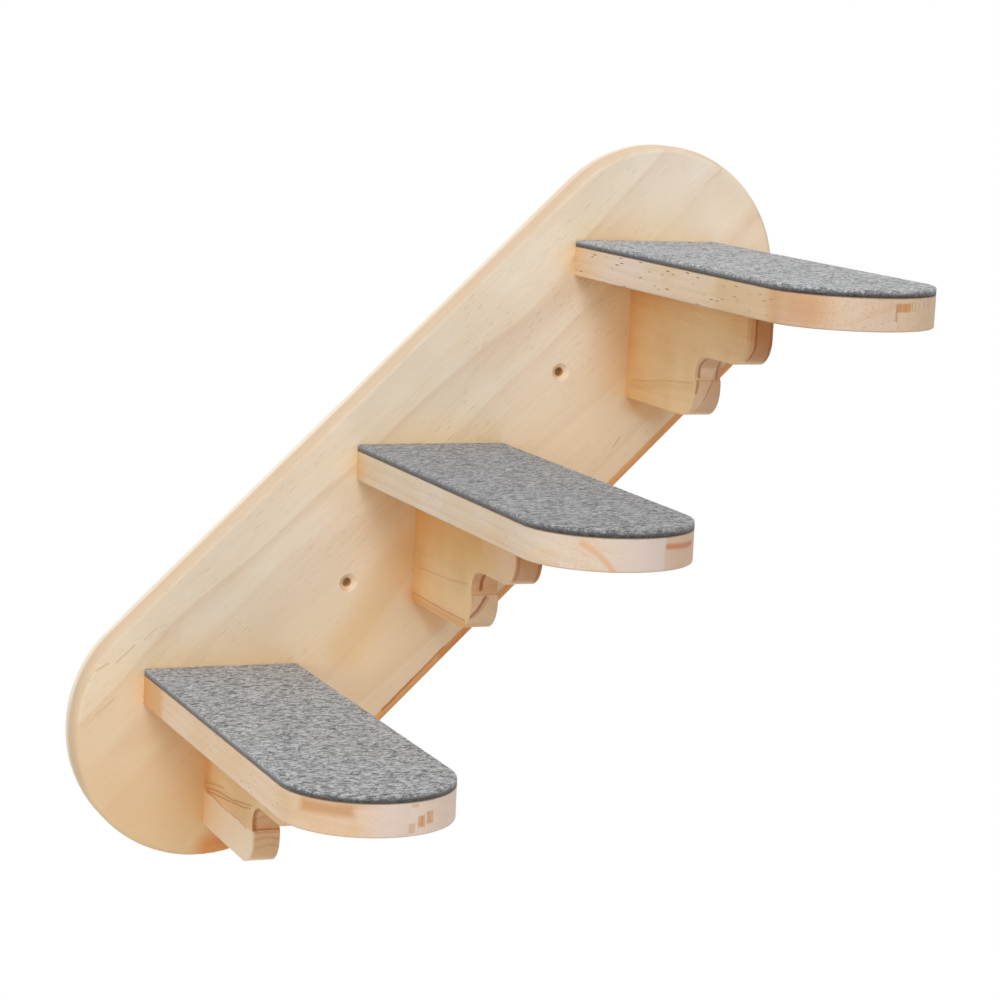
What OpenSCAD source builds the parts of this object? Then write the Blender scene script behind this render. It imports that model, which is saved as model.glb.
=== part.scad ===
// Wall-mounted cat ladder: three felt-topped treads on shaped brackets, carried by a sloping backboard.
// The wall is the plane Y = 0 and the steps stand out towards -Y. X runs right and Z up.
// The origin is the middle of the backboard's back face.

/* [Backboard] */
// Length of the board over its two round ends
board_length = 540; // [530:5:700]
// Width of the board
board_width = 156; // [145:1:200]
// Thickness of the board
board_t = 18; // [15:0.5:25]
// Climb of the board to the right, in degrees
board_slope = 44; // [38:1:50]
// Radius of the rounding along the board's front edge
board_front_r = 4; // [1:0.5:6]
// Radius of the rounding along the board's back edge
board_back_r = 1; // [0.5:0.5:2]

/* [Places of the steps] */
// Distance from one step to the next, along the board
step_pitch = 180; // [165:1:190]
// Place of the middle step along the board, from the board's middle
middle_along = 17.5; // [10:0.5:25]
// Distance of the lower tread's top off the board's centreline
lower_off = 17; // [10:0.5:25]
// Distance of the middle tread's top off the board's centreline
middle_off = 23.5; // [15:0.5:30]
// Distance of the upper tread's top off the board's centreline
upper_off = 19; // [10:0.5:25]

/* [Treads] */
// How far a tread stands out from the board
tread_depth = 300; // [240:5:360]
// Width of a tread, which is also the diameter of its round front
tread_width = 92; // [84:1:120]
// Thickness of a tread
tread_t = 18; // [15:0.5:25]
// Radius of the eased edges of a tread
tread_edge_r = 1; // [0.5:0.25:2]

/* [Felt pads] */
// Thickness of the felt
felt_t = 3.5; // [2:0.5:6]
// Radius of the felt's worn upper edge
felt_edge_r = 0.75; // [0.25:0.25:1]
// Gap between the felt's square end and the board
felt_back_gap = 0.3; // [0.2:0.1:2]

/* [Brackets] */
// Thickness of a bracket
bracket_t = 16; // [14:0.5:25]
// How far the upper nose reaches from the board
nose_reach = 157; // [145:1:180]
// Height of the upper nose
nose_h = 36; // [32:0.5:45]
// Radius of the nose's lower front corner
nose_r = 16; // [10:0.5:20]
// Height of the cove between the nose and the lower lobe
cove_h = 15.5; // [13:0.5:20]
// Radius of the cove
cove_r = 11.5; // [8:0.5:12]
// How far the lower lobe reaches from the board
lobe_reach = 95.5; // [85:0.5:105]
// Height of the lower lobe
lobe_h = 21.5; // [19:0.5:30]
// Radius of the lobe's lower front corner
lobe_r = 17; // [10:0.5:18]
// Depth of the ledge between the cove's foot and the lobe
ledge = 1.5; // [0.5:0.25:3]

/* [Screws and dowels] */
// Diameter of the wood screws
screw_d = 4; // [3.5:0.25:4.5]
// Diameter of a wood screw's countersunk head
screw_head_d = 8; // [7:0.5:9]
// Length of the screws driven through the board
back_screw_len = 50; // [40:1:60]
// Length of the screws driven down through a tread
top_screw_len = 40; // [35:1:45]
// Width of a screw's cross recess
recess_d = 4.6; // [4:0.2:5.2]
// Depth of a screw's cross recess
recess_h = 2; // [1.5:0.25:2.5]
// Thickness of each wing of the cross recess
recess_wing = 0.9; // [0.7:0.1:1.2]
// Distance between the two screws in a tread's back end
tread_screw_gap = 56; // [48:1:64]
// Distance between the two dowels in a tread's back end
dowel_gap = 26; // [22:1:32]
// Diameter of a dowel
dowel_d = 8; // [6:0.5:9]
// Length of a dowel
dowel_len = 30; // [24:1:40]
// How deep a dowel stands in the board
dowel_in_board = 12; // [8:0.5:12]
// Number of grooves round a dowel
dowel_grooves = 12; // [8:1:14]
// Height of the upper bracket screw below the tread
bracket_screw_down = 20; // [14:1:26]
// Height of the lower bracket screw above the bracket's foot
bracket_screw_up = 20; // [12:1:24]
// Distance of the near top screw from the board
near_screw_out = 54; // [50:1:70]
// Distance of the far top screw behind the nose's front
far_screw_in = 27; // [22:1:35]
// Running clearance of every screw and dowel in its hole
fit_gap = 0.1; // [0.05:0.05:0.2]

/* [Wall fixing] */
// Diameter of the two holes for the wall screws
wall_hole_d = 5.5; // [4.5:0.5:7]
// Diameter of their countersinks in the board's front
wall_sink_d = 11; // [9:0.5:13]

/* [Hidden] */
$fn = 96;

STEPS = ["lower", "middle", "upper"];
step_offs = [lower_off, middle_off, upper_off];
bracket_h = nose_h + cove_h + lobe_h;
cove_reach = lobe_reach - ledge;
// Slope of a 90 degree countersink
sink_slope = 1;
// How deep a screw's head lies below the face that it is driven into
head_sunk = 0.3;
// Height of the straight rim round a screw's head
head_rim = 0.4;
// Length of a wood screw's point
point_len = 6;
// Chamfer at a dowel's ends
dowel_chamfer = 1;
// Radius and depth of a dowel's grooves
groove_r = 0.5;
// Spare depth at the bottom of a blind hole
blind_gap = 1;
// Overlap that keeps cuts clear of the faces they start from
eps = 0.5;

// The board's own line, and the places of the steps on it

function board_point(along, off) = [
    along * cos(board_slope) - off * sin(board_slope),
    0,
    along * sin(board_slope) + off * cos(board_slope)
];

function step_along(i) = middle_along + (i - 1) * step_pitch;

// Each step is modelled with its tread's underside at Z = 0, against the board's front at Y = 0
module at_step(i)
    translate(board_point(step_along(i), step_offs[i]) - [0, board_t, tread_t]) children();

// Profiles and plates

// Half of a plate's cross-section, from its middle to its edge, rounded above by r1.
// It is rounded below by r0, or square there where r0 is 0.
module half_section(half, t, r0, r1) {
    translate([0, r0]) square([half, t - r0 - r1]);
    translate([0, t - r1]) square([half - r1, r1]);
    translate([half - r1, t - r1]) circle(r1);
    if (r0 > 0) {
        square([half - r0, r0]);
        translate([half - r0, r0]) circle(r0);
    }
}

module full_section(half, t, r0, r1) {
    half_section(half, t, r0, r1);
    mirror([1, 0]) half_section(half, t, r0, r1);
}

// A flat plate along X with its edges rounded all the way round, and a round end at each x in ends
module round_ended_plate(x0, x1, ends, width, t, r0, r1) {
    translate([x0, 0, 0]) rotate([90, 0, 90]) linear_extrude(x1 - x0) full_section(width / 2, t, r0, r1);
    for (x = ends) translate([x, 0, 0]) rotate_extrude() half_section(width / 2, t, r0, r1);
}

// The plate of a tread or of its felt: square at the board, round in front
module tread_plate(back_gap, t, r0, r1)
    rotate(-90) round_ended_plate(
        back_gap, tread_depth - tread_width / 2, [tread_depth - tread_width / 2], tread_width, t, r0, r1
    );

// Side view of a bracket, out from the board along +X and down along -Y

// A block that hangs below the line y = 0, with its lower front corner rounded
module round_nosed_block(reach, h, r) {
    translate([0, -h]) square([reach - r, h]);
    translate([0, r - h]) square([reach, h - r]);
    translate([reach - r, r - h]) circle(r);
}

// The hollow quarter round that leads from the cove's wall to the nose's underside
module cove_fillet()
    difference() {
        translate([cove_reach - eps, -nose_h - cove_r]) square([cove_r + eps, cove_r + eps]);
        translate([cove_reach + cove_r, -nose_h - cove_r]) circle(cove_r);
    }

module bracket_side() {
    round_nosed_block(nose_reach, nose_h, nose_r);
    translate([0, -nose_h - cove_h]) square([cove_reach, nose_h + cove_h]);
    cove_fillet();
    translate([0, -nose_h - cove_h]) round_nosed_block(lobe_reach, lobe_h, lobe_r);
}

// Screws and holes, driven down along -Z from a face at Z = 0

// Outline of a countersunk screw, or of its hole when gap is added all round
module screw_outline(d, head_d, length, point, gap) {
    head_r = head_d / 2 + gap;
    shank_r = d / 2 + gap;
    rim_foot = -head_sunk - head_rim;
    polygon([
        [0, -head_sunk],
        [head_r, -head_sunk],
        [head_r, rim_foot],
        [shank_r, rim_foot - (head_r - shank_r) / sink_slope],
        [shank_r, point - length],
        [0, -length]
    ]);
}

module wood_screw(length)
    color("silver") difference() {
        rotate_extrude() screw_outline(screw_d, screw_head_d, length, point_len, 0);
        cross_recess();
    }

module cross_recess()
    translate([0, 0, -head_sunk - recess_h]) intersection() {
        for (a = [0, 90]) rotate(a) translate([-recess_d / 2, -recess_wing / 2, 0])
            cube([recess_d, recess_wing, recess_h + eps]);
        cylinder(h = recess_h + eps, r1 = recess_wing / 2, r2 = recess_d / 2 + recess_wing / 4);
    }

// The hole of a wood screw, open above its head
module screw_hole(length) {
    rotate_extrude() screw_outline(screw_d, screw_head_d, length + blind_gap, point_len, fit_gap);
    translate([0, 0, -head_sunk - head_rim]) cylinder(h = head_sunk + head_rim + eps, d = screw_head_d + 2 * fit_gap);
}

// A grooved dowel along Z, from -dowel_in_board upwards
module dowel() {
    r = dowel_d / 2;
    top = dowel_len - dowel_in_board;
    color("tan") difference() {
        rotate_extrude() polygon([
            [0, -dowel_in_board],
            [r - dowel_chamfer, -dowel_in_board],
            [r, dowel_chamfer - dowel_in_board],
            [r, top - dowel_chamfer],
            [r - dowel_chamfer, top],
            [0, top]
        ]);
        for (k = [0 : dowel_grooves - 1]) rotate(k * 360 / dowel_grooves)
            translate([r, 0, -dowel_in_board - eps]) cylinder(h = dowel_len + 2 * eps, r = groove_r, $fn = 16);
    }
}

module dowel_hole()
    translate([0, 0, -dowel_in_board - blind_gap])
        cylinder(h = dowel_len + 2 * blind_gap, d = dowel_d + 2 * fit_gap);

// Where the screws and dowels of one step go

// From the back of the board, outwards
module from_back(x, z) translate([x, board_t, z]) rotate([-90, 0, 0]) children();
// From the top of the tread, downwards
module from_top(y) translate([0, -y, tread_t]) children();
// From the board's front face, outwards
module from_front(x, z) translate([x, 0, z]) rotate([90, 0, 0]) children();

module each_tread_screw() for (s = [-1, 1]) from_back(s * tread_screw_gap / 2, tread_t / 2) children();
module each_bracket_screw()
    for (z = [-bracket_screw_down, bracket_screw_up - bracket_h]) from_back(0, z) children();
module each_top_screw() for (y = [near_screw_out, nose_reach - far_screw_in]) from_top(y) children();
module each_dowel() for (s = [-1, 1]) from_front(s * dowel_gap / 2, tread_t / 2) children();

// The pieces of one step

module tread()
    color("burlywood") difference() {
        tread_plate(0, tread_t, tread_edge_r, tread_edge_r);
        each_tread_screw() screw_hole(back_screw_len);
        each_top_screw() screw_hole(top_screw_len);
        each_dowel() dowel_hole();
    }

module felt_pad()
    color("dimgray") translate([0, 0, tread_t]) tread_plate(felt_back_gap, felt_t, 0, felt_edge_r);

module bracket()
    color("tan") difference() {
        mirror([0, 1, 0]) rotate([90, 0, 90]) linear_extrude(bracket_t, center = true) bracket_side();
        each_bracket_screw() screw_hole(back_screw_len);
        each_top_screw() screw_hole(top_screw_len);
    }

module tread_screws() each_tread_screw() wood_screw(back_screw_len);
module bracket_screws() each_bracket_screw() wood_screw(back_screw_len);
module top_screws() each_top_screw() wood_screw(top_screw_len);
module dowels() each_dowel() dowel();

// The backboard

module wall_hole()
    rotate([-90, 0, 0]) translate([0, 0, -eps]) {
        sink_h = (wall_sink_d - wall_hole_d) / 2 / sink_slope;
        cylinder(h = board_t + 2 * eps, d = wall_hole_d);
        cylinder(h = eps, d = wall_sink_d);
        translate([0, 0, eps]) cylinder(h = sink_h, d1 = wall_sink_d, d2 = wall_hole_d);
    }

module backboard()
    color("wheat") difference() {
        rotate([0, -board_slope, 0]) rotate([90, 0, 0]) round_ended_plate(
            (board_width - board_length) / 2, (board_length - board_width) / 2,
            [(board_width - board_length) / 2, (board_length - board_width) / 2],
            board_width, board_t, board_back_r, board_front_r
        );
        for (i = [0 : 2]) at_step(i) {
            each_tread_screw() screw_hole(back_screw_len);
            each_bracket_screw() screw_hole(back_screw_len);
            each_dowel() dowel_hole();
        }
        // The wall holes are midway between the treads, on the board's centreline
        for (s = [-1, 1]) translate(board_point(middle_along + s * step_pitch / 2, 0) - [0, board_t, 0]) wall_hole();
    }

backboard();
for (i = [0 : 2]) at_step(i) {
    tread();
    felt_pad();
    bracket();
    tread_screws();
    bracket_screws();
    top_screws();
    dowels();
}
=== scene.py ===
"""Looks of a wall-mounted cat ladder: pine board, treads and brackets with heather felt pads."""

import math

import bmesh
import bpy
from mathutils import Matrix, Vector, noise


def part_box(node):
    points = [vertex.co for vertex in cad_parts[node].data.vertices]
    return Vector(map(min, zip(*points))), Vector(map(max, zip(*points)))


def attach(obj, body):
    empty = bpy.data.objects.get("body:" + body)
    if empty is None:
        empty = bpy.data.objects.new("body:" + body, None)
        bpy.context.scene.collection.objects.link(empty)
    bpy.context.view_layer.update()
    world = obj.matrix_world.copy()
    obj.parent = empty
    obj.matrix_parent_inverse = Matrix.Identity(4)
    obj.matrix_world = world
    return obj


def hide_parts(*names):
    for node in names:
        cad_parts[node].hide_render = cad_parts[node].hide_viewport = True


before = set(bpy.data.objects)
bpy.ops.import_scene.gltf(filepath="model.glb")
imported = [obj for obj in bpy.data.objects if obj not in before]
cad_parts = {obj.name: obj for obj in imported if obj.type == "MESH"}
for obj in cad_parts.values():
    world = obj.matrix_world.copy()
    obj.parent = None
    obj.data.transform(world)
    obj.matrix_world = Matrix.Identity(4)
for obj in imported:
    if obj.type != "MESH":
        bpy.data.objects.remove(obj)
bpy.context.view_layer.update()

STEPS = ("lower", "middle", "upper")
MM = 0.001

# Camera, fitted to the photograph's 1000 x 1000 frame

PHOTO_SIDE = 1000
FOCAL_PIXELS = 3009.18
SENSOR_MM = 36
CAMERA_PLACE = Vector((-0.63679, -1.66355, 0.28256))
CAMERA_YAW = math.radians(22.415)
CAMERA_PITCH = math.radians(9.092)
CAMERA_ROLL = math.radians(-2.708)


def make_camera():
    data = bpy.data.cameras.new("camera")
    data.sensor_width = SENSOR_MM
    data.lens = FOCAL_PIXELS / PHOTO_SIDE * SENSOR_MM
    camera = bpy.data.objects.new("camera", data)
    bpy.context.scene.collection.objects.link(camera)
    bpy.context.scene.camera = camera
    # A camera looks along its own -Z, so it is stood up first, then tilted, turned and rolled
    stand = Matrix.Rotation(math.radians(90) - CAMERA_PITCH, 3, "X")
    turn = Matrix.Rotation(-CAMERA_YAW, 3, "Z")
    roll = Matrix.Rotation(-CAMERA_ROLL, 3, "Z")
    camera.matrix_world = Matrix.Translation(CAMERA_PLACE) @ (turn @ stand @ roll).to_4x4()


# Node graphs


class Graph:
    """Adds nodes to one node tree. An input is a plain value or another node's output."""

    def __init__(self, tree):
        self.tree = tree
        tree.nodes.clear()

    def add(self, kind, inputs=None, output=0, **settings):
        node = self.tree.nodes.new("ShaderNode" + kind)
        for name, value in settings.items():
            setattr(node, name, value)
        for key, value in (inputs or {}).items():
            if isinstance(value, bpy.types.NodeSocket):
                self.tree.links.new(value, node.inputs[key])
            else:
                node.inputs[key].default_value = value
        return node.outputs[output] if node.outputs else None

    def math(self, operation, a, b=0.0, clamp=False):
        return self.add("Math", {0: a, 1: b}, operation=operation, use_clamp=clamp)

    def vector(self, operation, a, b=(0, 0, 0), output=0):
        return self.add("VectorMath", {0: a, 1: b}, output, operation=operation)

    def dot(self, a, b):
        return self.vector("DOT_PRODUCT", a, b, "Value")

    def length(self, vector):
        return self.vector("LENGTH", vector, output="Value")

    def part(self, vector, axis):
        return self.add("SeparateXYZ", {0: vector}, "XYZ".index(axis))

    def ease(self, value, low, high, to_low=0.0, to_high=1.0):
        """A smooth step from to_low at low to to_high at high."""
        inputs = {0: value, 1: low, 2: high, 3: to_low, 4: to_high}
        return self.add("MapRange", inputs, interpolation_type="SMOOTHSTEP")

    def mix(self, factor, a, b, blend="MIX"):
        # Inputs 6 and 7 and output 2 are the ones for colours
        return self.add("Mix", {0: factor, 6: a, 7: b}, 2, data_type="RGBA", blend_type=blend)

    def place(self):
        """The point being shaded, in the object's own metres, which are the frame's."""
        return self.add("TexCoord", output="Object")

    def stretch(self, vector, scale, shift=(0, 0, 0), turn=(0, 0, 0)):
        return self.add("Mapping", {0: vector, 1: shift, 2: turn, 3: scale}, vector_type="POINT")

    def noise(self, vector, detail=2.0, roughness=0.5, output="Fac"):
        inputs = {"Vector": vector, "Scale": 1.0, "Detail": detail, "Roughness": roughness}
        return self.add("TexNoise", inputs, output)


def new_material(name):
    material = bpy.data.materials.new(name)
    material.use_nodes = True
    return material, Graph(material.node_tree)


def srgb(red, green, blue):
    """A colour given in 8-bit sRGB, as the linear colour that a shader takes."""
    def linear(v):
        v /= 255
        return v / 12.92 if v <= 0.04045 else ((v + 0.055) / 1.055) ** 2.4
    return (linear(red), linear(green), linear(blue), 1.0)


# Pine

CREAM = srgb(233, 213, 187)
HONEY = srgb(224, 190, 142)
BLUSH = srgb(238, 219, 206)
PALE = srgb(240, 222, 200)
ORANGE = srgb(208, 146, 84)
LATEWOOD = srgb(194, 146, 96)
RUST = srgb(164, 92, 50)
SPECK = srgb(100, 60, 32)
# Half the reach of a patch along the axis that its plane leaves out
FAR = 1000
# The distance out from the wall over which a piece's marks come in
MARKS_COME_IN = 6.0

# Where marks are drawn: in the plane across the grain of a step's pieces, in one along it, or in space
ACROSS = (1, 0, 1)
ALONG = (0, 1, 1)
SPACE = (1, 1, 1)


def flat(plane, spot, other=0):
    """A spot as a point of the piece in millimetres; other goes on the axis that the plane leaves out."""
    if plane == SPACE:
        return spot
    return (spot[0], other, spot[1]) if plane == ACROSS else (other, spot[0], spot[1])


def offset_from(g, place, start, end):
    """The way to each point from the nearest spot of a straight line."""
    start = Vector(start)
    along = Vector(end) - start
    offset = g.vector("SUBTRACT", place, tuple(start))
    share = g.math("DIVIDE", g.dot(offset, tuple(along)), along.length_squared, clamp=True)
    on_line = g.add("VectorMath", {0: tuple(along), 3: share}, operation="SCALE")
    return g.vector("SUBTRACT", offset, on_line)


def streak(g, place, start, end, width):
    """1 on a soft line of that width from start to end and 0 away from it."""
    away = g.length(offset_from(g, place, start, end))
    return g.ease(away, 0.1 * width, 0.8 * width, 1.0, 0.0)


def line(plane, spots, width, colour=LATEWOOD, strength=0.5):
    """A mark: a soft line through those spots, for grain or for painted shade."""
    points = [flat(plane, spot) for spot in spots]

    def shape(g, place):
        shades = [streak(g, place, start, end, width) for start, end in zip(points, points[1:])]
        whole = shades[0]
        for shade in shades[1:]:
            whole = g.math("MAXIMUM", whole, shade)
        return g.math("MULTIPLY", whole, strength)
    return plane, shape, colour


def block(plane, centre, half, feather=1.0, colour=LATEWOOD, strength=0.5):
    """A mark: another tone inside a rectangle, fading out over feather."""
    def shape(g, place):
        offset = g.vector("ABSOLUTE", g.vector("SUBTRACT", place, flat(plane, centre)))
        outside = g.vector("SUBTRACT", offset, flat(plane, half, FAR))
        largest = g.math("MAXIMUM", g.part(outside, "X"), g.part(outside, "Y"))
        largest = g.math("MAXIMUM", largest, g.part(outside, "Z"))
        return g.ease(largest, -feather / 2, feather / 2, strength, 0.0)
    return plane, shape, colour


def beyond(plane, spot, towards, feather=1.0, colour=LATEWOOD, strength=0.5):
    """A mark: another tone on the far side of a straight border through spot."""
    def shape(g, place):
        offset = g.vector("SUBTRACT", place, flat(plane, spot))
        depth = g.dot(offset, tuple(Vector(flat(plane, towards)).normalized()))
        return g.ease(depth, -feather / 2, feather / 2, 0.0, strength)
    return plane, shape, colour


def rim(plane, start, end, reach, towards, feather, colour, strength, turned=(0.1, 0.5)):
    """A mark: another tone beyond reach from the line between two spots, on the side that faces towards.

    turned holds two cosines of the angle away from towards: where the tone is gone and where it is full.
    """
    def shape(g, place):
        offset = offset_from(g, place, flat(plane, start), flat(plane, end))
        away = g.length(offset)
        faces = g.dot(offset, tuple(Vector(flat(plane, towards)).normalized()))
        side = g.ease(g.math("DIVIDE", faces, away), *turned)
        shade = g.ease(away, reach - feather / 2, reach + feather / 2, 0.0, strength)
        return g.math("MULTIPLY", shade, side)
    return plane, shape, colour


def year_rings(g, log, look):
    """How dark the late wood of the year rings is, at each point of the log."""
    waver = g.noise(g.stretch(log, (0.02, 0.02, 0.004)), detail=2.0)
    from_pith = g.length(g.vector("MULTIPLY", log, (1, 1, 0)))
    radius = g.math("ADD", from_pith, g.math("MULTIPLY", waver, look["waver"]))
    turns = g.math("DIVIDE", radius, look["ring"])
    phase = g.math("FRACT", turns)
    season = g.add("TexWhiteNoise", {"W": g.math("FLOOR", turns)}, noise_dimensions="1D")
    late = g.math("MULTIPLY", g.math("POWER", phase, 2.5), g.ease(phase, 0.88, 1.0, 1.0, 0.0))
    late = g.math("MULTIPLY", late, g.math("ADD", season, 0.3))
    return g.math("MULTIPLY", late, 2.5 * look["rings"], clamp=True)


def resin_specks(g, log, look):
    """Short dark dashes along the grain, where resin canals are cut, gathered in loose swarms."""
    across = g.math("ADD", g.part(log, "X"), g.part(log, "Y"))
    spot = g.stretch(g.add("CombineXYZ", {0: across, 1: g.part(log, "Z")}), (0.7, 0.08, 1), look["seed"])
    cells = g.add("TexVoronoi", {"Vector": spot, "Scale": 1.0}, voronoi_dimensions="2D").node
    size = g.ease(g.part(cells.outputs["Color"], "X"), 0.5, 1.0, 0.0, 0.25)
    shade = g.math("DIVIDE", g.math("SUBTRACT", size, cells.outputs["Distance"]), 0.1, clamp=True)
    swarm = g.ease(g.noise(g.stretch(log, (0.03, 0.03, 0.012), look["seed"])), 0.4, 0.55, 0.25, 1.0)
    return g.math("MULTIPLY", g.math("MULTIPLY", shade, swarm), look["specks"])


def pine(name, look):
    """Pine, as a solid texture in the piece's own millimetres: x across, y out from the wall, z up.

    look says where the piece is, which way its grain runs, where the pith of its log lies, how strong
    its rings and blotches are, and what marks it has.
    """
    material, g = new_material(name)
    origin = look["origin"]
    scale = (1 / MM, -1 / MM, 1 / MM)
    shift = (-origin[0] / MM, origin[1] / MM, -origin[2] / MM)
    place = g.stretch(g.place(), scale, shift, (0, look.get("slope", 0.0), 0))
    # In the log, Z runs along the grain, and the pith is the line X = Y = 0
    log = g.stretch(place, (1, 1, 1), look["pith"], look["lie"])

    # Wide faint clouds, streaks that run with the grain, then rings
    cloud = g.noise(g.stretch(place, (0.02, 0.02, 0.02), look["seed"]), detail=2.0)
    warm = g.noise(g.stretch(log, (0.06, 0.06, 0.007), look["seed"]), detail=3.0)
    colour = g.mix(g.ease(cloud, 0.36, 0.64), look["base"], look["blotch"])
    colour = g.mix(g.math("MULTIPLY", g.ease(warm, 0.42, 0.7), look["honey"]), colour, HONEY)
    colour = g.mix(year_rings(g, log, look), colour, LATEWOOD)

    # Fibres
    fibre = g.noise(g.stretch(log, (1.2, 1.2, 0.03)), detail=3.0, roughness=0.6)
    fine = g.noise(g.stretch(log, (4.0, 4.0, 0.12)), detail=2.0)
    tone = g.math("ADD", g.ease(fibre, 0.25, 0.75, 0.96, 1.03), g.ease(fine, 0.3, 0.7, -0.015, 0.015))
    colour = g.mix(1.0, colour, g.add("CombineXYZ", {0: tone, 1: tone, 2: tone}), "MULTIPLY")

    # End grain soaks up more light, and shows its pores
    normal = g.add("TexCoord", output="Normal")
    along = g.math("ABSOLUTE", g.dot(normal, look["grain"]))
    end = g.ease(along, 0.3, 0.7)
    pores = g.noise(g.stretch(place, (0.8, 0.8, 0.8)), detail=4.0, roughness=0.75)
    colour = g.mix(g.math("MULTIPLY", end, look["ends"]), colour, look["end_tint"], "MULTIPLY")
    colour = g.mix(g.math("MULTIPLY", end, g.ease(pores, 0.5, 0.7, 0.0, look["pores"])), colour, LATEWOOD)

    flank = g.ease(along, 0.05, 0.35, 1.0, 0.0)
    colour = g.mix(g.math("MULTIPLY", resin_specks(g, log, look), flank), colour, SPECK)

    # Marks of grain and of painted light and shade, a little wavy, as grain is
    wave = g.noise(g.stretch(place, (0.1, 0.1, 0.1)), output="Color")
    wave = g.vector("MULTIPLY", g.vector("SUBTRACT", wave, (0.5, 0.5, 0.5)), look["wave"])
    wavy = g.vector("ADD", place, wave)
    front = g.ease(g.part(place, "Y"), look["marks_from"], look["marks_from"] + MARKS_COME_IN)
    sides = g.math("SUBTRACT", 1.0, end)
    for plane, shape, tint in look["marks"]:
        shade = g.math("MULTIPLY", shape(g, g.vector("MULTIPLY", wavy, plane)), front)
        if look.get("marks_by_face"):
            shade = g.math("MULTIPLY", shade, end if plane == ACROSS else sides)
        colour = g.mix(shade, colour, tint)

    # Painted shade: where wood close by hides the light from around, the colour is made warmer and darker,
    # as light off that wood would make it
    open_sky = g.add("AmbientOcclusion", {"Distance": look["painted_shade_reach"]}, "AO", samples=8)
    colour = g.mix(g.ease(open_sky, 1.0, 0.2), colour, look["painted_shade_tint"], "MULTIPLY")

    bump = g.add("Bump", {"Strength": 0.25, "Distance": 0.0002, "Height": g.math("ADD", fibre, fine)})
    inputs = {
        "Base Color": colour,
        "Roughness": g.ease(fibre, 0.3, 0.7, 0.52, 0.62),
        "Specular IOR Level": 0.3,
        "Normal": bump,
    }
    g.add("OutputMaterial", {0: g.add("BsdfPrincipled", inputs)})
    return material


# Where each piece's own millimetres start: for a step, the middle of its tread's top at the board

BOARD_SLOPE = math.radians(44)
BOARD_ORIGIN = Vector((0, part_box("backboard")[1].y, 0))


def step_origin(step):
    low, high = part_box("tread_" + step)
    return Vector(((low.x + high.x) / 2, high.y, high.z))


ALONG_Y = (math.radians(90), 0, 0)

BOARD_LOOK = {
    "origin": BOARD_ORIGIN,
    "slope": BOARD_SLOPE,
    "grain": (math.cos(BOARD_SLOPE), 0, math.sin(BOARD_SLOPE)),
    "lie": (0, math.radians(-90), math.radians(5)),
    "pith": (-12, 120, 0),
    "seed": (3, 1, 8),
    "base": srgb(240, 227, 207),
    "blotch": srgb(238, 222, 199),
    "honey": 0.16,
    "rings": 0.12,
    "ring": 9.0,
    "waver": 22.0,
    "ends": 0.0,
    "end_tint": CREAM,
    "pores": 0.4,
    "specks": 0.2,
    # Painted warm shade where wood close by hides the light
    "painted_shade_reach": 0.045,
    "painted_shade_tint": srgb(255, 236, 198),
    "marks_from": 4.0,
    "wave": (1.2, 1.2, 1.2),
    "marks": [
        # Painted shade: the lower side and the lower end are warmer and darker, as under the treads, and
        # the left a little darker, to even out the lamp on that side
        beyond(ACROSS, (0, -8), (0, -1), 90.0, srgb(228, 190, 140), 0.5),
        beyond(ACROSS, (-195, -20), (-1, -0.5), 100.0, srgb(222, 178, 110), 0.5),
        beyond(ACROSS, (-60, 0), (-1, 0.3), 300.0, srgb(218, 192, 156), 0.2),
        # Painted shade on the rounding of the upper edge, which dims the highlight there
        rim(ACROSS, (-192, 0), (192, 0), 75.5, (0, 1), 3.0, srgb(200, 170, 136), 0.7),
        line(ACROSS, [(-100, -29), (-78, -24), (-60, -17), (-38, -11)], 24.0, srgb(222, 178, 112), 0.4),
        line(ACROSS, [(-214, 71), (-206, 69)], 1.2, LATEWOOD, 0.4),
        line(ACROSS, [(-202, 66), (-188, 65.5)], 1.2, LATEWOOD, 0.35),
        line(ACROSS, [(-182, 64), (-172, 64)], 1.0, LATEWOOD, 0.3),
        line(ACROSS, [(-232, 52), (-218, 51)], 1.2, LATEWOOD, 0.3),
        line(ACROSS, [(265, 20), (251, 21)], 1.6, LATEWOOD, 0.25),
        line(ACROSS, [(110, -57), (102, -58.5)], 1.0, RUST, 0.3),
        block(ACROSS, (240, -17), (26, 4), 14.0, ORANGE, 0.3),
        # Painted shadow that each bracket casts on the board below it
        line(ACROSS, [(130, -48), (137, -63)], 14.0, srgb(214, 148, 90), 0.5),
        line(ACROSS, [(-47, -37), (-49, -57)], 14.0, srgb(216, 156, 100), 0.5),
        line(ACROSS, [(-238, -57), (-222, -68)], 17.0, srgb(214, 124, 44), 0.75),
        # Painted light: paler at the upper end, where more light falls, and paler still beside the upper
        # tread, against the warm painted shade there
        block(ACROSS, (225, 8), (34, 46), 50.0, srgb(242, 226, 208), 0.5),
        block(ACROSS, (226, 0), (18, 8), 30.0, srgb(250, 240, 230), 0.3),
        # Painted shade on the rounding of the lower edge, which faces down and away from the light; deeper
        # under the middle bracket, with darker streaks along it
        rim(ACROSS, (-192, 0), (192, 0), 72.4, (0, -1), 1.6, srgb(222, 152, 82), 0.85, (0.55, 0.98)),
        line(ACROSS, [(-22, -76), (-60, -75.5)], 5.0, srgb(206, 118, 50), 0.5),
        line(ACROSS, [(-109, -73), (-84, -72.8)], 1.3, srgb(168, 88, 30), 0.75),
        line(ACROSS, [(-84, -72.8), (-56, -72.6)], 1.3, srgb(168, 88, 30), 0.55),
    ],
}

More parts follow.
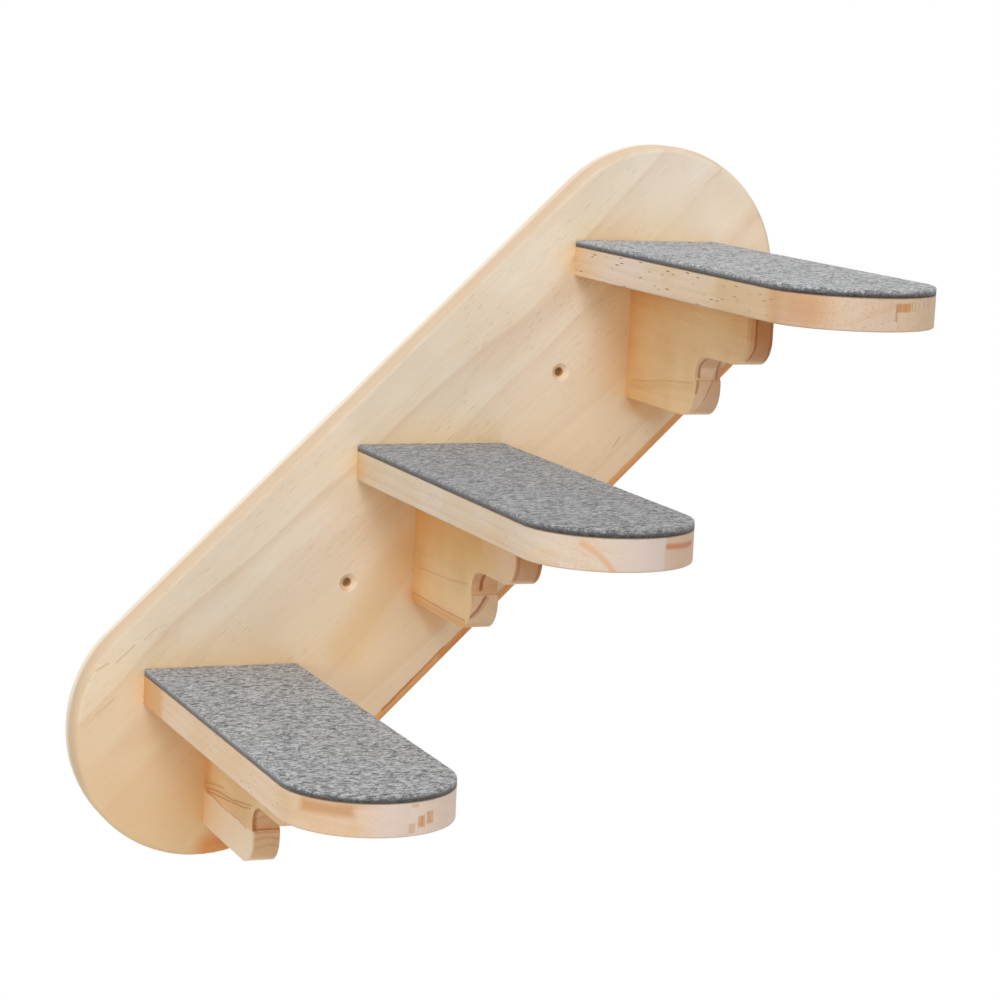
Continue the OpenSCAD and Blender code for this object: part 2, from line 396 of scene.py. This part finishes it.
TREAD_MARKS = {
    "lower": [
        block(ACROSS, (28, -9), (21, 12), 0.6, BLUSH, 0.5),
        block(ACROSS, (8.6, -13.8), (1.7, 2.5), 1.0, ORANGE, 0.8),
        block(ACROSS, (14.2, -10.8), (2.2, 3.0), 1.0, ORANGE, 0.75),
        block(ACROSS, (19.4, -9.4), (2.1, 3.2), 1.0, ORANGE, 0.6),
        block(ACROSS, (9.8, -2.2), (2.4, 1.0), 0.8, ORANGE, 0.6),
        line(ACROSS, [(7.4, -12), (7.4, -15.8)], 0.9, RUST, 0.5),
        line(ACROSS, [(14.6, -8.4), (14.6, -13)], 0.9, RUST, 0.4),
        line(ACROSS, [(18.6, -7), (18.6, -11.4)], 0.8, RUST, 0.3),
        block(SPACE, (-46, 126, -9), (8, 140, 20), 16.0, srgb(212, 176, 130), 0.35),
        block(SPACE, (-46, 14, -9), (8, 24, 20), 14.0, srgb(208, 156, 92), 0.65),
        block(SPACE, (-38, 278, -9), (18, 24, 20), 20.0, srgb(204, 160, 114), 0.25),
        block(SPACE, (-33, 286, -4.5), (12, 12, 3.2), 5.0, srgb(192, 136, 80), 0.7),
        block(SPACE, (-18, 296, -2.2), (10, 8, 1.2), 2.5, srgb(206, 156, 110), 0.4),
        block(SPACE, (-2, 300, -9), (13, 20, 20), 16.0, srgb(226, 208, 200), 0.6),
    ],
    "middle": [
        block(SPACE, (4, 298, -9), (17, 20, 20), 20.0, srgb(222, 206, 198), 0.7),
        block(ACROSS, (34.3, -9), (20, 12), 0.6, srgb(218, 184, 158), 0.7),
        line(ACROSS, [(15.8, -5.3), (24.5, -6.0), (33.9, -6.2)], 3.2, srgb(202, 128, 84), 0.85),
        line(ACROSS, [(-28, -4), (-25, -6), (-22.4, -8.2), (-18.6, -12), (-15.7, -15.4), (-14, -18)], 3.0,
             srgb(222, 172, 126), 0.75),
    ],
    "upper": [
        block(ACROSS, (28, -9), (24.2, 12), 0.6, srgb(222, 188, 152), 0.5),
        block(ACROSS, (8.5, -5.3), (4.7, 2.2), 1.2, ORANGE, 0.85),
        line(ACROSS, [(5.6, -3.7), (5.6, -7.2)], 1.0, RUST, 0.35),
        line(ACROSS, [(9.3, -3.7), (9.3, -7.2)], 1.0, RUST, 0.35),
        line(ACROSS, [(3.9, -4), (3.9, -12)], 1.4, RUST, 0.6),
        line(ACROSS, [(14.4, -3), (14.4, -7)], 1.0, LATEWOOD, 0.6),
        line(ACROSS, [(16.6, -3), (16.6, -7)], 1.0, LATEWOOD, 0.6),
        line(ACROSS, [(19.2, -3), (19.2, -6.4)], 1.0, LATEWOOD, 0.4),
        line(ACROSS, [(23, -2.4), (23, -5.6)], 1.2, LATEWOOD, 0.35),
        line(ACROSS, [(28, -2), (28, -5)], 1.4, LATEWOOD, 0.35),
        block(SPACE, (-46, 227, -9), (10, 36, 20), 10.0, srgb(214, 176, 122), 0.5),
        block(SPACE, (-42, 272, -9), (12, 18, 20), 16.0, srgb(202, 148, 100), 0.6),
        block(SPACE, (-36, 280, -9), (8, 9, 5), 10.0, srgb(190, 130, 80), 0.25),
        block(SPACE, (-14, 297, -9), (18, 8, 20), 14.0, srgb(208, 180, 156), 0.45),
    ],
}

# Painted shadow of the felt, all the way round the tread's top edge under it
FELT_SHADOW_LINE = beyond(ALONG, (0, -0.8), (0, 1), 0.7, srgb(88, 70, 54), 0.75)

TREAD_LOOKS = {
    "lower": {
        "pith": (30, -140, 0),
        "seed": (1, 0, 5),
        "specks": 0.5,
        "base": srgb(229, 204, 174),
        "blotch": srgb(236, 212, 192),
    },
    "middle": {
        "pith": (-20, 150, 0),
        "seed": (4, 2, 9),
        "specks": 0.2,
        "base": srgb(222, 202, 172),
        "blotch": srgb(226, 208, 188),
    },
    "upper": {
        "pith": (60, 130, 0),
        "seed": (9, 5, 2),
        "specks": 0.9,
        "pores": 0.8,
        "base": srgb(229, 207, 176),
        "blotch": srgb(232, 211, 192),
    },
}

BRACKET_MARKS = {
    "lower": [
        block(ALONG, (6, -50), (6, 26), 14.0, ORANGE, 0.4),
        block(ALONG, (48, -65), (48, 5), 3.0, ORANGE, 0.2),
        beyond(ALONG, (40, -70.6), (0, -1), 0.8, PALE, 0.6),
        line(ALONG, [(3, -65.4), (21, -62), (39, -59.5)], 0.9, RUST, 0.4),
        line(ALONG, [(5, -68), (28, -64.5), (59, -61.8), (77, -58.5), (92, -56.3)], 1.0, RUST, 0.55),
        line(ALONG, [(6, -69.6), (24, -67.5), (44, -65), (71, -61.7), (90, -58.4)], 1.0, RUST, 0.55),
        line(ALONG, [(6, -70.2), (20, -70), (40, -71.2), (68, -70.3), (84, -71.3)], 1.0, RUST, 0.5),
        line(ACROSS, [(-5.5, -56), (-7, -59), (-7, -69)], 3.2, RUST, 0.7),
        line(ACROSS, [(-8, -69.4), (0, -69), (8, -69.4)], 0.9, RUST, 0.6),
        line(ACROSS, [(-8, -71), (0, -70.4), (8, -71)], 0.9, RUST, 0.35),
        line(ACROSS, [(-8, -63.5), (0, -62), (8, -63)], 1.4, RUST, 0.2),
        line(ACROSS, [(-8, -75), (0, -73.6), (8, -75)], 1.4, RUST, 0.25),
        line(ACROSS, [(-6, -80), (2, -78), (8, -79.5)], 1.6, RUST, 0.2),
        # Painted highlight on the rounded left edge of the lobe's end
        line(ACROSS, [(-7.8, -71), (-7.8, -90)], 2.0, PALE, 0.7),
    ],
    "middle": [
        line(ALONG, [(4, -69.7), (59.5, -67), (87, -64.2)], 1.1, LATEWOOD, 0.4),
        beyond(ALONG, (111, -42), (1, 0.8), 6.0, BLUSH, 0.3),
        block(ACROSS, (0, -77), (8, 10), 3.0, PALE, 0.3),
        line(ALONG, [(2, -86), (49, -86.4), (86, -86)], 1.3, RUST, 0.5),
        line(ALONG, [(2, -89.4), (86, -89)], 4.0, ORANGE, 0.5),
        block(ALONG, (60, -34), (70, 20), 20.0, srgb(224, 176, 98), 0.4),
        block(ALONG, (46, -77), (46, 8), 8.0, srgb(240, 214, 172), 0.3),
        line(ACROSS, [(-1.2, -56), (-2, -62), (-2.3, -66)], 2.2, RUST, 0.95),
        block(ACROSS, (-5, -58), (3, 4.5), 4.0, RUST, 0.25),
        line(ACROSS, [(0.4, -70.5), (-4.2, -78), (-8, -83)], 2.0, RUST, 0.85),
        line(ACROSS, [(2.2, -71), (-2.6, -79), (-6, -83)], 1.2, RUST, 0.35),
        line(ACROSS, [(-6.2, -18), (-6.2, -54)], 1.8, RUST, 0.5),
        line(ACROSS, [(6.4, -18), (6.4, -54)], 1.8, RUST, 0.7),
        block(ACROSS, (0, -36), (7, 18), 4.0, RUST, 0.3),
        # Painted shade at the top left of the nose, under the tread
        block(ACROSS, (-4, -26), (4, 8), 8.0, RUST, 0.3),
    ],
    "upper": [
        line(ALONG, [(8, -79.8), (51, -74.7), (93, -70.5)], 1.2, LATEWOOD, 0.4),
        line(ALONG, [(8, -82.6), (51, -77.6), (93, -73.4)], 5.0, LATEWOOD, 0.2),
        block(ACROSS, (0, -62), (8, 7.5), 3.0, PALE, 0.35),
        block(ACROSS, (0, -77), (8, 10), 3.0, PALE, 0.3),
        # Painted highlight on the rounded left edge of the nose's end, in the side grain's honey tone
        line(ACROSS, [(-7.2, -18), (-7.2, -54)], 2.4, HONEY, 0.8),
        line(ACROSS, [(-2.7, -18), (-2.5, -44), (-4.6, -54)], 1.5, RUST, 0.85),
        block(ACROSS, (2.5, -36), (5, 18), 2.0, RUST, 0.42),
        line(ACROSS, [(6.8, -18), (6.8, -54)], 1.6, RUST, 0.6),
        line(ACROSS, [(-3.6, -56), (-5.4, -60), (-5.4, -67)], 1.8, RUST, 0.7),
        # Painted shade at the top of the cove, under the nose, and painted light at its foot
        block(ACROSS, (0.5, -58), (5.5, 3.5), 2.0, RUST, 0.2),
        block(ACROSS, (0.5, -65), (5, 3), 2.0, PALE, 0.5),
        line(ACROSS, [(6.2, -57), (5.6, -68)], 1.4, RUST, 0.65),
        line(ACROSS, [(-6.6, -69.8), (-7.4, -76)], 1.8, RUST, 0.6),
        beyond(ACROSS, (0.2, -75), (1, -0.4), 1.0, RUST, 0.22),
        line(ACROSS, [(2.6, -69.4), (-2, -80.5)], 1.0, RUST, 0.4),
    ],
}

BRACKET_LOOKS = {
    "lower": {"pith": (120, 20, 0), "seed": (2, 0, 7)},
    "middle": {"pith": (-130, 25, 0), "seed": (5, 1, 3)},
    "upper": {"pith": (125, 45, 0), "seed": (0, 8, 3)},
}

TREAD_SHARED = {
    "lie": ALONG_Y,
    "grain": (0, 1, 0),
    "honey": 0.5,
    "rings": 0.1,
    "ring": 6.0,
    "waver": 16.0,
    "ends": 0.15,
    "end_tint": srgb(240, 220, 212),
    "pores": 0.4,
    # Painted warm shade where wood close by hides the light
    "painted_shade_reach": 0.08,
    "painted_shade_tint": srgb(255, 222, 176),
    "marks_from": -20.0,
    "wave": (2.5, 2.5, 0.4),
}

BRACKET_SHARED = {
    "lie": ALONG_Y,
    "grain": (0, 1, 0),
    "base": srgb(232, 204, 160),
    "blotch": HONEY,
    "honey": 0.4,
    "rings": 0.06,
    "ring": 7.0,
    "waver": 20.0,
    "ends": 0.9,
    "end_tint": srgb(242, 222, 216),
    "pores": 0.4,
    "specks": 0.1,
    # Painted warm shade where wood close by hides the light
    "painted_shade_reach": 0.08,
    "painted_shade_tint": srgb(252, 216, 168),
    "marks_by_face": True,
    "marks_from": -20.0,
    "wave": (1.5, 1.5, 1.5),
}


WELD_GAP = 0.00001
BRACKET_EASE = 0.0012


def dress(node, material, bevel=0.0):
    """Gives a CAD node its material, and eases its sharp edges where bevel is more than 0."""
    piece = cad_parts[node]
    piece.data.materials.clear()
    piece.data.materials.append(material)
    if bevel:
        weld = piece.modifiers.new("weld", "WELD")
        weld.merge_threshold = WELD_GAP
        ease = piece.modifiers.new("bevel", "BEVEL")
        ease.width = bevel
        ease.segments = 2
        ease.limit_method = "ANGLE"
        ease.angle_limit = math.radians(35)
        ease.harden_normals = True


def dress_wood():
    dress("backboard", pine("board_pine", BOARD_LOOK))
    for step in STEPS:
        origin = {"origin": step_origin(step)}
        tread = {**TREAD_SHARED, **origin, **TREAD_LOOKS[step], "marks": TREAD_MARKS[step] + [FELT_SHADOW_LINE]}
        bracket = {**BRACKET_SHARED, **origin, **BRACKET_LOOKS[step], "marks": BRACKET_MARKS[step]}
        dress("tread_" + step, pine("tread_pine_" + step, tread))
        dress("bracket_" + step, pine("bracket_pine_" + step, bracket), bevel=BRACKET_EASE)


# Felt

FELT_PALE = srgb(222, 223, 225)
FELT_MID = srgb(146, 147, 149)
FELT_DARK = srgb(46, 48, 51)
# The cut edge's colour is painted shade
FELT_EDGE_SHADE = srgb(88, 85, 83)
# Painted light: the same felt made brighter or darker pad by pad, as the light falls on each
FELT_PAINTED_LIGHT = {"lower": srgb(213, 213, 212), "middle": srgb(192, 192, 193), "upper": srgb(228, 228, 228)}
# In millimetres: from one point of the mesh to the next, the rounding of the upper edge, and the nap
FELT_SPACING = 1.2
FELT_EDGE_R = 1.0
FELT_NAP = 0.12
NAP_SEEDS = {"lower": 85, "middle": 102, "upper": 85}


def felt_material(step):
    """Pale and dark tufts pressed into one mid grey mat, with fine fibres lying across them."""
    material, g = new_material("heather_felt_" + step)
    place = g.stretch(g.place(), (1 / MM,) * 3, (0, 0, -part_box("felt_" + step)[0].z / MM))

    def fibres(turn, seed, length, width):
        """Fibres, or tufts of them, that lie at one angle in the sheet."""
        laid = g.stretch(place, (1, 1, 1), (0, 0, seed), (0, 0, math.radians(turn)))
        return g.noise(g.stretch(laid, (1 / length, 1 / width, 1 / width)), detail=3.0, roughness=0.6)

    pale = g.math("MAXIMUM", fibres(-12, 11, 5.0, 3.6), fibres(24, 37, 3.2, 2.2))
    dark = g.math("MAXIMUM", fibres(10, 53, 5.0, 3.4), fibres(-28, 71, 3.2, 2.0))
    dark_hairs = fibres(40, 5, 5.0, 0.6)
    pale_hairs = fibres(-55, 19, 5.0, 0.6)
    tufts = g.noise(g.stretch(place, (0.1, 0.1, 0.1)), detail=2.0)
    colour = g.mix(g.ease(tufts, 0.3, 0.7), FELT_MID, srgb(166, 167, 168))
    colour = g.mix(g.ease(pale, 0.49, 0.595), colour, FELT_PALE)
    # The dark tufts are lost where the edge turns down
    level = g.ease(g.part(g.add("TexCoord", output="Normal"), "Z"), 0.5, 0.97, 0.2, 1.0)
    colour = g.mix(g.math("MULTIPLY", g.ease(dark, 0.53, 0.64), level), colour, FELT_DARK)
    colour = g.mix(g.ease(pale_hairs, 0.5, 0.6, 0.0, 0.45), colour, FELT_PALE)
    colour = g.mix(g.ease(dark_hairs, 0.48, 0.62, 0.0, 0.6), colour, FELT_DARK)
    # Painted light: each pad's tone, brighter or darker by how the light falls on it
    colour = g.mix(1.0, colour, FELT_PAINTED_LIGHT[step], "MULTIPLY")

    # Painted shade on the cut edge, darkest at its foot by the wood and frayed into the felt above
    frayed = g.noise(g.stretch(place, (0.7, 0.7, 0.7)), detail=4.0, roughness=0.7)
    height = g.math("ADD", g.part(place, "Z"), g.math("MULTIPLY", g.math("SUBTRACT", frayed, 0.5), 3.0))
    cut = g.mix(g.ease(frayed, 0.42, 0.6), FELT_EDGE_SHADE, FELT_DARK)
    colour = g.mix(g.ease(height, 0.8, 2.8, 0.95, 0.0), colour, cut)

    relief = g.math("SUBTRACT", g.math("ADD", pale, dark_hairs), dark)
    bump = g.add("Bump", {"Strength": 0.6, "Distance": 0.0005, "Height": relief})
    inputs = {
        "Base Color": colour,
        "Roughness": 0.95,
        "Specular IOR Level": 0.15,
        "Sheen Weight": 0.35,
        "Sheen Roughness": 0.5,
        "Normal": bump,
    }
    g.add("OutputMaterial", {0: g.add("BsdfPrincipled", inputs)})
    return material


def felt_ring(half, length, inset):
    """A pad's outline in millimetres, with its square back at y = 0, moved in by inset."""
    reach = half - inset
    straight = length - half - inset
    side_count = round((length - half) / FELT_SPACING)
    arc_count = round(math.pi * half / FELT_SPACING)
    back_count = round(2 * half / FELT_SPACING)
    points = []
    for k in range(side_count):
        points.append((-reach, inset + straight * k / side_count))
    for k in range(arc_count):
        turn = math.pi * k / arc_count
        points.append((-reach * math.cos(turn), length - half + reach * math.sin(turn)))
    for k in range(side_count):
        points.append((reach, length - half - straight * k / side_count))
    for k in range(back_count):
        points.append((reach - 2 * reach * k / back_count, inset))
    return points


def felt_pad(step, material):
    """A pad of felt as one closed mesh: rings of points run from the cut edge in to the middle line."""
    low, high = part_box("felt_" + step)
    half = (high.x - low.x) / 2 / MM
    length = (high.y - low.y) / MM
    thick = (high.z - low.z) / MM
    # Each ring's distance in from the edge, and its height: up the cut, round the upper edge, over the top
    profile = [(0.0, 0.0), (0.0, 0.6), (0.0, 1.2), (0.0, thick - FELT_EDGE_R)]
    cut_rings = len(profile)
    for k in range(1, 6):
        turn = math.radians(18 * k)
        height = thick - FELT_EDGE_R + FELT_EDGE_R * math.sin(turn)
        profile.append((FELT_EDGE_R * (1 - math.cos(turn)), height))
    inner = round((half - FELT_EDGE_R) / FELT_SPACING)
    profile += [(FELT_EDGE_R + (half - FELT_EDGE_R) * k / inner, thick) for k in range(1, inner + 1)]

    mesh = bmesh.new()
    rings = []
    for number, (inset, z) in enumerate(profile):
        ring = []
        for x, y in felt_ring(half, length, inset):
            spot = Vector((x, y, z + NAP_SEEDS[step]))
            nap = noise.noise(spot * 0.9) + 0.6 * noise.noise(spot * 2.3)
            lift = FELT_NAP * nap if number >= cut_rings else 0.0
            fray = FELT_NAP * abs(nap) if 0 < number <= cut_rings else 0.0
            scale = 1 - fray / half
            ring.append(mesh.verts.new((x * scale, y, z + lift)))
        rings.append(ring)
    for outer, inner_ring in zip(rings, rings[1:]):
        for a in range(len(outer)):
            b = (a + 1) % len(outer)
            mesh.faces.new((outer[a], outer[b], inner_ring[b], inner_ring[a]))
    mesh.faces.new(rings[0])
    bmesh.ops.remove_doubles(mesh, verts=mesh.verts, dist=0.05)
    bmesh.ops.recalc_face_normals(mesh, faces=mesh.faces)
    for face in mesh.faces:
        face.smooth = True

    # From the pad's own millimetres, with y out from the board, to the frame
    origin = Vector(((low.x + high.x) / 2, high.y, low.z))
    to_frame = Matrix.Translation(origin) @ Matrix.Diagonal((MM, -MM, MM, 1))
    mesh.transform(to_frame)
    bmesh.ops.reverse_faces(mesh, faces=mesh.faces)
    data = bpy.data.meshes.new("felt_pad_" + step)
    mesh.to_mesh(data)
    mesh.free()
    pad = bpy.data.objects.new("felt_pad_" + step, data)
    bpy.context.scene.collection.objects.link(pad)
    data.materials.append(material)
    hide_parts("felt_" + step)
    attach(pad, "root")


# Screws and dowels


def steel_material():
    material, g = new_material("zinc_plated_steel")
    haze = g.noise(g.stretch(g.place(), (1 / (2 * MM),) * 3), detail=3.0)
    inputs = {
        "Base Color": g.mix(g.ease(haze, 0.3, 0.7), srgb(190, 192, 196), srgb(214, 214, 212)),
        "Metallic": 1.0,
        "Roughness": g.ease(haze, 0.3, 0.7, 0.28, 0.42),
    }
    g.add("OutputMaterial", {0: g.add("BsdfPrincipled", inputs)})
    return material


def beech_material():
    material, g = new_material("beech_dowel")
    flecks = g.noise(g.stretch(g.place(), (1 / (0.5 * MM), 1 / (4 * MM), 1 / (0.5 * MM))), detail=2.0)
    inputs = {
        "Base Color": g.mix(g.ease(flecks, 0.35, 0.65), srgb(214, 178, 138), srgb(190, 148, 108)),
        "Roughness": 0.6,
    }
    g.add("OutputMaterial", {0: g.add("BsdfPrincipled", inputs)})
    return material


def dress_fasteners():
    steel = steel_material()
    beech = beech_material()
    for step in STEPS:
        for group in ("tread_screws_", "bracket_screws_", "top_screws_"):
            dress(group + step, steel)
        dress("dowels_" + step, beech)


# Light and floor

FLOOR_DROP = -1.3
FLOOR_RADIUS = 2.2
AMBIENT_ABOVE = 0.9
AMBIENT_BELOW = 0.12
# The sine of the height, over and under the horizon, where the light from around has its full and least
AMBIENT_EDGE = 0.8
PALE_FLOOR = srgb(240, 239, 237)


def make_world():
    world = bpy.data.worlds.new("studio")
    bpy.context.scene.world = world
    world.use_nodes = True
    g = Graph(world.node_tree)
    # The picture's background is white, and so is what shiny things mirror, but neither lights the object
    path = g.add("LightPath").node
    seen = g.math("MAXIMUM", path.outputs["Is Camera Ray"], path.outputs["Is Glossy Ray"])
    seen = g.math("MAXIMUM", seen, path.outputs["Is Transmission Ray"])
    height = g.part(g.add("TexCoord", output="Generated"), "Z")
    strength = g.ease(height, -AMBIENT_EDGE, AMBIENT_EDGE, AMBIENT_BELOW, AMBIENT_ABOVE)
    soft = g.add("Background", {"Color": (1, 1, 1, 1), "Strength": strength})
    white = g.add("Background", {"Color": (1, 1, 1, 1), "Strength": 1.0})
    g.add("OutputWorld", {0: g.add("MixShader", {0: seen, 1: soft, 2: white})})


def area_light(name, place, aim, side, power):
    data = bpy.data.lights.new(name, "AREA")
    data.shape = "SQUARE"
    data.size = side
    data.energy = power
    lamp = bpy.data.objects.new(name, data)
    lamp.location = place
    lamp.rotation_mode = "QUATERNION"
    lamp.rotation_quaternion = (Vector(aim) - Vector(place)).to_track_quat("-Z", "Y")
    bpy.context.scene.collection.objects.link(lamp)


def make_floor():
    """A pale floor below the hung object, which fades out at its rim and isn't seen from underneath."""
    mesh = bmesh.new()
    bmesh.ops.create_circle(mesh, cap_ends=True, segments=96, radius=FLOOR_RADIUS)
    data = bpy.data.meshes.new("floor")
    mesh.to_mesh(data)
    mesh.free()
    floor = bpy.data.objects.new("floor", data)
    floor.location = (0, 0, FLOOR_DROP)
    bpy.context.scene.collection.objects.link(floor)
    material, g = new_material("pale_floor")
    fade = g.ease(g.length(g.place()), 0.6 * FLOOR_RADIUS, FLOOR_RADIUS)
    hidden = g.math("MAXIMUM", fade, g.add("NewGeometry", output="Backfacing"))
    solid = g.add("BsdfDiffuse", {"Color": PALE_FLOOR})
    clear = g.add("BsdfTransparent")
    g.add("OutputMaterial", {0: g.add("MixShader", {0: hidden, 1: solid, 2: clear})})
    data.materials.append(material)


def make_lights():
    area_light("key", (-1.6, -3.4, 3.6), (0, -0.15, 0), 2.4, 92)
    area_light("left", (-4.2, -2.6, 0.6), (0, -0.15, 0), 2.0, 48)


bpy.context.scene.view_settings.view_transform = "Standard"
make_camera()
make_world()
make_lights()
make_floor()
dress_wood()
dress_fasteners()
for step in STEPS:
    felt_pad(step, felt_material(step))
